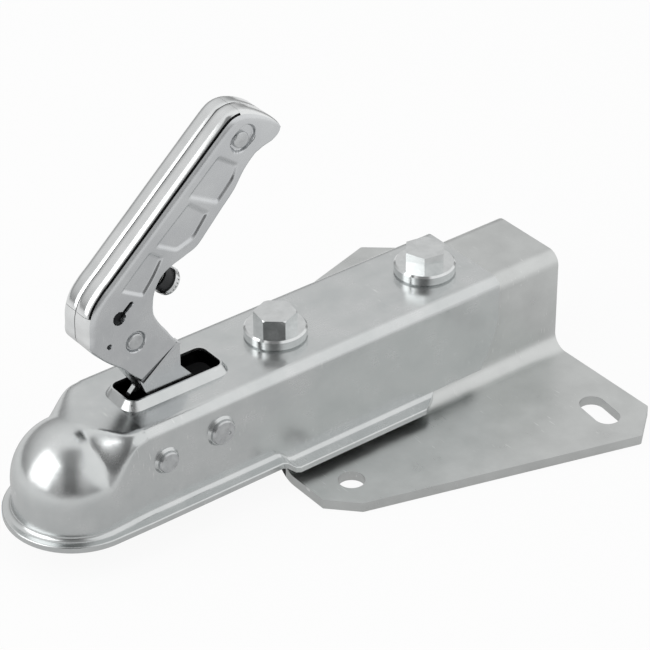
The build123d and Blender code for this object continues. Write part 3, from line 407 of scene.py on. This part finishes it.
# The button's skirt: its axis, the direction across it, the centre of its face, and its profile
button_axis = np.array([0.743, 0.0, -0.669])
button_across = np.array([0.669, 0.0, 0.743])
button_face = np.array([52.8, 0.0, 85.1])
skirt_radius = np.array([5.0, 5.75, 5.9, 5.9, 5.75, 5.0])
skirt_reach = np.array([-5.8, -5.8, -5.65, 0.0, 0.1, 0.1])


def along(points, stations):
    """A Catmull-Rom curve through the points, read at fractional stations as one array."""
    points = np.asarray(points, float).reshape(len(points), -1)
    padded = np.vstack([2 * points[0] - points[1], points, 2 * points[-1] - points[-2]])
    whole = np.clip(np.floor(stations).astype(int), 0, len(points) - 2)
    t = (stations - whole)[:, None]
    a, b, c, d = (padded[whole + k] for k in range(4))
    bend = (2 * a - 5 * b + 4 * c - d) * t ** 2 + (3 * b - a - 3 * c + d) * t ** 3
    return 0.5 * (2 * b + (c - a) * t + bend)


def ramp(value, low, high):
    """0 below low, 1 above high, and a smooth step between."""
    t = np.clip((value - low) / (high - low), 0, 1)
    return t * t * (3 - 2 * t)


def to_segment(x, z, start, end):
    """Distance from each (x, z) to the segment from start to end."""
    run = np.subtract(end, start)
    t = np.clip(((x - start[0]) * run[0] + (z - start[1]) * run[1]) / max(run @ run, 1e-9), 0, 1)
    return np.hypot(x - start[0] - t * run[0], z - start[1] - t * run[1])


def pressed_depth(x, z):
    """Depth of the pressed and pierced features of a plate at (x, z).

    A panel is a smooth step of the distance inside its outline, taken as a soft minimum over its sides. Seats
    and holes are steps of the distance from a point or a short line.
    """
    depth = np.zeros_like(x)
    for corners in panels:
        corners = np.array(corners)
        sides = np.roll(corners, -1, 0) - corners
        outward = np.stack([sides[:, 1], -sides[:, 0]], 1) / np.linalg.norm(sides, axis=1)[:, None]
        if (outward[0] @ (corners.mean(0) - corners[0])) > 0:
            outward = -outward
        reach = sum(np.exp(panel_sharpness * ((x - corner[0]) * out[0] + (z - corner[1]) * out[1]))
                    for corner, out in zip(corners, outward))
        depth = np.maximum(depth, panel_depth * ramp(-np.log(reach) / panel_sharpness, *panel_wall))
    rounds = [
        (low_rivet, low_rivet, seat_radius, seat_depth, seat_wall),
        (*top_seat, seat_radius, seat_depth, seat_wall),
        (keyhole, keyhole, keyhole_radius, pierced_depth, pierced_wall),
        (keyhole, keyhole_end, keyhole_half, pierced_depth, pierced_wall),
        (gauge_hole, gauge_hole, gauge_radius, pierced_depth, pierced_wall),
    ]
    for start, end, radius, deep, wall in rounds:
        depth = np.maximum(depth, deep * ramp(radius - to_segment(x, z, start, end), 0, wall))
    return depth


def carried(name, grid, finish, dark=None, dark_rows=()):
    """A closed skin from a grid of points [station, point of the loop, 3] in millimetres, capped at its ends.

    Each station's loop is closed on itself. dark_rows marks the faces that take the second finish, dark, as
    painted shade.
    """
    stations, loop = grid.shape[:2]
    index = np.arange(stations * loop).reshape(stations, loop)
    here, there = index[:-1], index[1:]
    quads = np.stack([here, np.roll(here, -1, 1), np.roll(there, -1, 1), there], -1).reshape(-1, 4)
    caps = [index[0][::-1].tolist(), index[-1].tolist()]
    mesh = bpy.data.meshes.new(name)
    mesh.from_pydata((grid.reshape(-1, 3) / 1000).tolist(), [], quads.tolist() + caps)
    mesh.materials.append(finish)
    if dark is not None:
        mesh.materials.append(dark)
        slots = np.zeros((stations - 1, loop), int)
        for rows in dark_rows:
            slots = np.maximum(slots, rows)
        mesh.polygons.foreach_set("material_index", np.append(slots.reshape(-1), [0, 0]).astype(np.int32))
    mesh.shade_smooth()
    mesh.set_sharp_from_angle(angle=math.radians(skin_crease))
    piece = bpy.data.objects.new(name, mesh)
    scene.collection.objects.link(piece)
    return piece


def facing_out(piece):
    """Turns the faces of a closed skin outwards."""
    skin = bmesh.new()
    skin.from_mesh(piece.data)
    bmesh.ops.recalc_face_normals(skin, faces=skin.faces)
    skin.to_mesh(piece.data)
    skin.free()
    return piece


def merged(piece):
    """Takes the caps off a ring and joins its first and last station."""
    ring = bmesh.new()
    ring.from_mesh(piece.data)
    caps = [face for face in ring.faces if len(face.verts) > 4]
    bmesh.ops.delete(ring, geom=caps, context="FACES_ONLY")
    bmesh.ops.remove_doubles(ring, verts=ring.verts, dist=1e-7)
    ring.to_mesh(piece.data)
    ring.free()
    return piece


def crown_frames(stations):
    """Points of the crown line, its outward normals and its corner radius at each station."""
    line = along(front_edge, stations)
    ahead = along(front_edge, np.clip(stations + 0.02, 0, last_station))
    run = ahead - along(front_edge, np.clip(stations - 0.02, 0, last_station))
    run /= np.linalg.norm(run, axis=1)[:, None]
    normal = np.stack([-run[:, 1], run[:, 0]], 1)
    return line, normal, np.interp(stations, station_numbers, round_at)


def handle_plate(side):
    """One side plate: rounded down from the crown, flat with its pressings, and rounded at the back.

    On the corner a point lies r (1 - cos t) below the crown line, at a half width of handle_half less
    r (1 - sin t). From there it goes in a straight line to the back edge, at handle_half less the round of
    the back edge and the pressed depth. Three more points close the loop along the inside of the sheet.
    """
    stations = np.linspace(0, last_station, plate_rows)
    line, normal, radius = crown_frames(stations)
    start = np.interp(stations, station_numbers, bridge_angle)
    back = along(back_edge, stations)

    # the corner
    turn = start[:, None] + (math.pi / 2 - start)[:, None] * np.linspace(0, 1, corner_points)[None, :]
    drop = radius[:, None] * (1 - np.cos(turn))
    corner = line[:, None] - normal[:, None] * drop[..., None]
    corner_half = handle_half - radius[:, None] * (1 - np.sin(turn))

    # the flat
    share = np.linspace(0, 1, flat_points)[None, 1:, None]
    share = share + middle_closer * np.sin(2 * math.pi * share) / (2 * math.pi)
    flat = corner[:, -1:] * (1 - share) + back[:, None] * share
    inset = np.linalg.norm(flat - back[:, None], axis=2)
    curl = np.clip(edge_round - inset, 0, edge_round)
    flat_half = handle_half - (edge_round - np.sqrt(edge_round ** 2 - curl ** 2))
    flat_half = flat_half - pressed_depth(flat[..., 0], flat[..., 1]) * (inset > plain_margin)

    # the inside of the sheet
    inner_half = handle_half - plate_thick
    inner = np.stack([flat[:, -1], corner[:, -1], corner[:, 0] - normal * inner_drop], 1)
    inner_y = np.stack([np.full(len(stations), inner_half)] * 3, 1)
    inner_y[:, 2] = np.minimum(inner_half, corner_half[:, 0] - inner_margin)

    flat_xz = np.concatenate([corner, flat, inner], 1)
    half = np.concatenate([corner_half, flat_half, inner_y], 1)
    grid = np.stack([flat_xz[..., 0], side * half, flat_xz[..., 1]], -1)
    # painted shade: the dark finish on the deep pierced holes and on the inside of the sheet, where the gap
    # to the cover shows
    pierced = (pressed_depth(flat_xz[..., 0], flat_xz[..., 1]) > dark_depth)[:-1]
    inside = np.zeros_like(pierced)
    inside[:, -4:] = True
    name = "handle_plate_left" if side > 0 else "handle_plate_right"
    return facing_out(carried(name, grid, handle_zinc, oiled_steel_and_painted_shade, (pierced, inside)))


def crown_strip(name, side, first, last, end_angle, sheet, rows):
    """A strip of the crown from the seam to end_angle of its corner, sheet thick, between two stations.

    A point of the outside lies at an even share of the flat's half width, and then at r sin t past it and
    r (1 - cos t) below the crown line. The inside lies sheet deeper, drawn in a little.
    """
    stations = np.linspace(first, last, rows)
    line, normal, radius = crown_frames(stations)
    end = np.interp(stations, station_numbers, end_angle) if np.ndim(end_angle) else np.full(rows, end_angle)
    turn = end[:, None] * np.linspace(0, 1, corner_points)
    flat_half = handle_half - radius
    flat_share = np.linspace(0, 1, seam_points)[None, :-1]
    flat_across = flat_share * (flat_half - seam_half)[:, None] + seam_half
    across = np.concatenate([flat_across, flat_half[:, None] + radius[:, None] * np.sin(turn)], 1)
    drop = np.concatenate([np.zeros_like(flat_across), radius[:, None] * (1 - np.cos(turn))], 1)
    drop[:, :2] = seam_drops
    across[:, 1] = seam_flank
    inner_across = np.maximum(across - draw_in * sheet * (across / handle_half), seam_half)
    across = np.concatenate([across, inner_across[:, ::-1]], 1)
    drop = np.concatenate([drop, drop[:, ::-1] + sheet], 1)
    place = line[:, None] - normal[:, None] * drop[..., None]
    grid = np.stack([place[..., 0], side * across, place[..., 1]], -1)
    return facing_out(carried(name, grid, cover_zinc))


def lever_plates():
    """The lever below the fold, from the solid's own faces, with the fold carried out to the wider plates.

    A half width past lever_half grows in proportion, so that shell_half becomes handle_half. Points of the
    band slide along the fold until its ends meet the edges of the plates.
    """
    source = node["handle_shell"].data
    points = np.empty(3 * len(source.vertices))
    source.vertices.foreach_get("co", points)
    points = np.round(points.reshape(-1, 3) * 1e6) / 1e3
    corners = np.empty(3 * len(source.loop_triangles), int)
    source.loop_triangles.foreach_get("vertices", corners)
    points, place = np.unique(points, axis=0, return_inverse=True)
    corners = place.reshape(-1)[corners].reshape(-1, 3)

    # heights over the fold line and distances along it
    fold = np.array(fold_run) / math.hypot(*fold_run)
    above = (points[:, 2] - fold_start[1]) * fold[0] - (points[:, 0] - fold_start[0]) * fold[1]
    reach = (points[:, 0] - fold_start[0]) * fold[0] + (points[:, 2] - fold_start[1]) * fold[1]
    corners = corners[(above[corners] < band_top).all(1)]
    rise = np.clip((above - band_foot) / band_height, 0, 1)
    trim = np.minimum(reach, fold_reach - back_trim * rise) - reach
    trim = trim + np.where(above > band_foot, np.maximum(front_trim * rise - reach, 0), 0)
    points[:, 0] += trim * fold[0]
    points[:, 2] += trim * fold[1]

    # faces that have lost a corner go, and the band widens
    corners = corners[(np.diff(corners, axis=1) != 0).all(1) & (corners[:, 0] != corners[:, 2])]
    half = np.abs(points[:, 1])
    spread = (handle_half - lever_half) / (shell_half - lever_half)
    wider = np.where(half > lever_half + round_off, lever_half + (half - lever_half) * spread, half)
    points[:, 1] = np.sign(points[:, 1]) * wider

    used, corners = np.unique(corners, return_inverse=True)
    mesh = bpy.data.meshes.new("handle_lever")
    mesh.from_pydata((points[used] / 1000).tolist(), [], corners.reshape(-1, 3).tolist())
    mesh.materials.append(handle_zinc)
    mesh.shade_smooth()
    mesh.set_sharp_from_angle(angle=math.radians(lever_crease))
    piece = bpy.data.objects.new("handle_lever", mesh)
    scene.collection.objects.link(piece)
    return piece


def rivet(name, centre):
    """A rivet with two low round heads: a profile of radius and place along Y, turned about its own axis."""
    seat = handle_half - seat_depth
    turn = np.linspace(0, math.pi / 2, 8)
    rounded = head_radius - head_round + head_round * np.sin(turn)
    radius = np.concatenate([[pole_radius], rounded, [head_radius, foot_radius]])
    place = np.concatenate([[seat + head_top], seat + head_rise + head_round * np.cos(turn), [seat, seat]])
    radius = np.concatenate([radius, radius[::-1]])
    place = np.concatenate([place, -place[::-1]])
    angle = np.linspace(0, 2 * math.pi, turned_points, endpoint=False)[None, :]
    grid = np.stack([centre[0] + radius[:, None] * np.cos(angle), np.repeat(place[:, None], turned_points, 1),
                     centre[1] + radius[:, None] * np.sin(angle)], -1)
    return facing_out(carried(name, grid, rivet_zinc))


def button_skirt():
    """The black skirt of the safety button: a closed profile turned about the button's axis."""
    angle = np.linspace(0, 2 * math.pi, turned_points, endpoint=False)
    turned = np.cos(angle)[:, None] * button_across + np.sin(angle)[:, None] * np.array([0.0, 1.0, 0.0])
    centres = button_face + skirt_reach[None, :, None] * button_axis
    grid = centres + skirt_radius[None, :, None] * turned[:, None]
    closed = np.concatenate([grid, grid[:1]])
    return facing_out(merged(carried("button_skirt", closed, acetal)))


# The pieces of the handle, each listed with a finish word that is not used, attached to the handle's body,
# and the button's skirt
handle_body, = body_of(node["handle_shell"])
button_body, = body_of(node["safety_button"])
lever = lever_plates()
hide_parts("handle_shell")
handle_pieces = [(lever, "handle_zinc")]
for side, word in ((1, "left"), (-1, "right")):
    chin = crown_strip("handle_chin_" + word, side, chin_from, cover_from - end_gap, bridge_angle,
                       chin_sheet, chin_rows)
    nose = crown_strip("handle_nose_" + word, side, cover_to + end_gap, last_station, bridge_angle,
                       nose_sheet, nose_rows)
    cover = crown_strip("cover_" + word, side, cover_from, cover_to, cover_angle, cover_sheet, cover_rows)
    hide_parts("grip_cover_" + word)
    handle_pieces.append((handle_plate(side), "handle_zinc"))
    handle_pieces += [(chin, "cover_zinc"), (nose, "cover_zinc"), (cover, "cover_zinc")]
for name, centre in (("lower_rivet", low_rivet), ("upper_rivet", top_rivet)):
    piece = rivet(name + "_headed", centre)
    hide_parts(name)
    handle_pieces.append((piece, "rivet_steel"))
for piece, slot in handle_pieces:
    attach(piece, handle_body)
skirt = button_skirt()
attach(skirt, button_body)


# The camera, fitted to the photograph
turn, lift, roll = math.radians(-37.55), math.radians(33.52), math.radians(-0.32)
camera_place = (-0.53978, -0.88822, 0.76570)
back = Vector((math.sin(turn) * math.cos(lift), -math.cos(turn) * math.cos(lift), math.sin(lift)))
level_right = Vector((math.cos(turn), math.sin(turn), 0))
level_up = back.cross(level_right)
right = math.cos(roll) * level_right + math.sin(roll) * level_up
up = -math.sin(roll) * level_right + math.cos(roll) * level_up
camera = bpy.data.objects.new("camera", bpy.data.cameras.new("camera"))
camera.matrix_world = Matrix.Translation(camera_place) @ Matrix((right, up, back)).transposed().to_4x4()
camera.data.lens = 157.27
camera.data.sensor_width = 36
camera.data.sensor_fit = "HORIZONTAL"
camera.data.clip_start = 0.05
scene.collection.objects.link(camera)
scene.camera = camera


# The floor: pale and plain. The camera sees it white with a faint shadow, and metal sees it pale, with
# painted shade that darkens it close to the part
floor_half = 3
floor_height = cad_box[0][2] - 0.0002
part_centre = (0.1, -0.03, 0.0)


def pale_floor():
    """Matt pale laminate that keeps a faint shadow."""
    material = new_material("pale_matt_floor")
    tree = material.node_tree
    matt = add(tree, "ShaderNodeBsdfDiffuse", {"Color": linear("E6E6E6")})
    rays = add(tree, "ShaderNodeLightPath")
    white = add(tree, "ShaderNodeEmission", {"Color": [1, 1, 1, 1], "Strength": 1.0})
    place = add(tree, "ShaderNodeTexCoord").outputs["Object"]
    # painted shade: the floor as metal sees it is darker close to the part, 0.60 rising to 0.90 farther out
    away = add(tree, "ShaderNodeVectorMath", {"operation": "DISTANCE", 1: part_centre}, {0: place})
    floor_shade_near_part = add(tree, "ShaderNodeMapRange",
                {"interpolation_type": "SMOOTHSTEP", "From Min": 0.12, "From Max": 0.34, "To Min": 0.60,
                 "To Max": 0.90}, {"Value": away.outputs["Value"]})
    pale = add(tree, "ShaderNodeEmission", {"Color": [1, 1, 1, 1]}, {"Strength": floor_shade_near_part.outputs["Result"]})
    camera_part = add(tree, "ShaderNodeMath", {"operation": "MULTIPLY", 1: 0.93},
                      {0: rays.outputs["Is Camera Ray"]})
    glossy_part = add(tree, "ShaderNodeMath", {"operation": "MULTIPLY", 1: 0.80},
                      {0: rays.outputs["Is Glossy Ray"]})
    seen = add(tree, "ShaderNodeMixShader", {},
               {0: camera_part.outputs["Value"], 1: matt.outputs["BSDF"], 2: white.outputs["Emission"]})
    mirrored = add(tree, "ShaderNodeMixShader", {},
                   {0: glossy_part.outputs["Value"], 1: seen.outputs["Shader"], 2: pale.outputs["Emission"]})
    add(tree, "ShaderNodeOutputMaterial", {}, {"Surface": mirrored.outputs["Shader"]})
    return material


floor_mesh = bpy.data.meshes.new("floor")
floor_corners = [(x, y, floor_height) for x, y in ((-1, -1), (1, -1), (1, 1), (-1, 1))]
floor_mesh.from_pydata([(floor_half * x, floor_half * y, z) for x, y, z in floor_corners], [], [(0, 1, 2, 3)])
floor = bpy.data.objects.new("floor", floor_mesh)
floor_mesh.materials.append(pale_floor())
scene.collection.objects.link(floor)


# The studio: a tent, bright overhead and greyer towards the floor, white to the camera
panel_towards = Vector((0.61, -0.51, 0.60)).normalized()
camera_towards = (-0.609, -0.793, 0.0)
camera_right = (0.793, -0.609, 0.0)

world = bpy.data.worlds.new("light_tent")
scene.world = world
world.use_nodes = True
tree = world.node_tree
tree.nodes.clear()
direction = add(tree, "ShaderNodeTexCoord").outputs["Generated"]
height = add(tree, "ShaderNodeSeparateXYZ", {}, {"Vector": direction})
tent = add(tree, "ShaderNodeValToRGB", {}, {"Fac": height.outputs["Z"]})
tent.color_ramp.elements[0].position = 0.0
tent.color_ramp.elements[0].color = (0.30, 0.30, 0.30, 1)
tent.color_ramp.elements[1].position = 0.95
tent.color_ramp.elements[1].color = (1.0, 1.0, 1.0, 1)
middle = tent.color_ramp.elements.new(0.45)
middle.color = (0.72, 0.72, 0.72, 1)

# an even bright panel to the right of the camera, which the bends of the sheet mirror
panel = add(tree, "ShaderNodeVectorMath", {"operation": "DOT_PRODUCT", 1: panel_towards}, {0: direction})
panel_part = add(tree, "ShaderNodeMapRange",
                 {"interpolation_type": "SMOOTHSTEP", "From Min": 0.60, "From Max": 0.72},
                 {"Value": panel.outputs["Value"]})
lined = add(tree, "ShaderNodeMixRGB", {"Color2": (1.04, 1.04, 1.04, 1)},
            {"Fac": panel_part.outputs["Result"], "Color1": tent.outputs["Color"]})

# the dark gap between the lamps, at the camera: a narrow upright strip from the horizon to overhead
sideways = add(tree, "ShaderNodeVectorMath", {"operation": "DOT_PRODUCT", 1: camera_right}, {0: direction})
off_middle = add(tree, "ShaderNodeMath", {"operation": "ADD", 1: 0.05}, {0: sideways.outputs["Value"]})
apart = add(tree, "ShaderNodeMath", {"operation": "ABSOLUTE"}, {0: off_middle.outputs["Value"]})
dark_width = add(tree, "ShaderNodeMapRange",
                 {"interpolation_type": "SMOOTHSTEP", "From Min": 0.18, "From Max": 0.38, "To Min": 0.72,
                  "To Max": 0.0}, {"Value": apart.outputs["Value"]})
towards = add(tree, "ShaderNodeVectorMath", {"operation": "DOT_PRODUCT", 1: camera_towards}, {0: direction})
dark_height = add(tree, "ShaderNodeMapRange",
                  {"interpolation_type": "SMOOTHSTEP", "From Min": -0.05, "From Max": 0.20},
                  {"Value": towards.outputs["Value"]})
dark = add(tree, "ShaderNodeMath", {"operation": "MULTIPLY"},
           {0: dark_width.outputs["Result"], 1: dark_height.outputs["Result"]})
shade = add(tree, "ShaderNodeMath", {"operation": "SUBTRACT", 0: 1.0}, {1: dark.outputs["Value"]})
tent_light = add(tree, "ShaderNodeBackground", {},
                 {"Color": lined.outputs["Color"], "Strength": shade.outputs["Value"]})
white_back = add(tree, "ShaderNodeBackground", {"Color": [1, 1, 1, 1], "Strength": 1.0})
seen_by = add(tree, "ShaderNodeLightPath")
mixed_back = add(tree, "ShaderNodeMixShader", {},
                 {0: seen_by.outputs["Is Camera Ray"], 1: tent_light.outputs["Background"],
                  2: white_back.outputs["Background"]})
add(tree, "ShaderNodeOutputWorld", {}, {"Surface": mixed_back.outputs["Shader"]})


def softbox(name, place, aim, width, height, radiance):
    """A rectangular softbox that points at aim.

    Its power is radiance times pi times its area, so a mirror shows it at that radiance.
    """
    lamp = bpy.data.lights.new(name, "AREA")
    lamp.shape = "RECTANGLE"
    lamp.size, lamp.size_y = width, height
    lamp.energy = radiance * math.pi * width * height
    box = bpy.data.objects.new(name, lamp)
    turned = (Vector(aim) - Vector(place)).to_track_quat("-Z", "Y").to_matrix().to_4x4()
    box.matrix_world = Matrix.Translation(place) @ turned
    scene.collection.objects.link(box)
    return box


softbox("left_softbox", (-1.0, 0.22, 0.60), aim=(0.11, 0.0, 0.04), width=1.0, height=1.15, radiance=1.7)
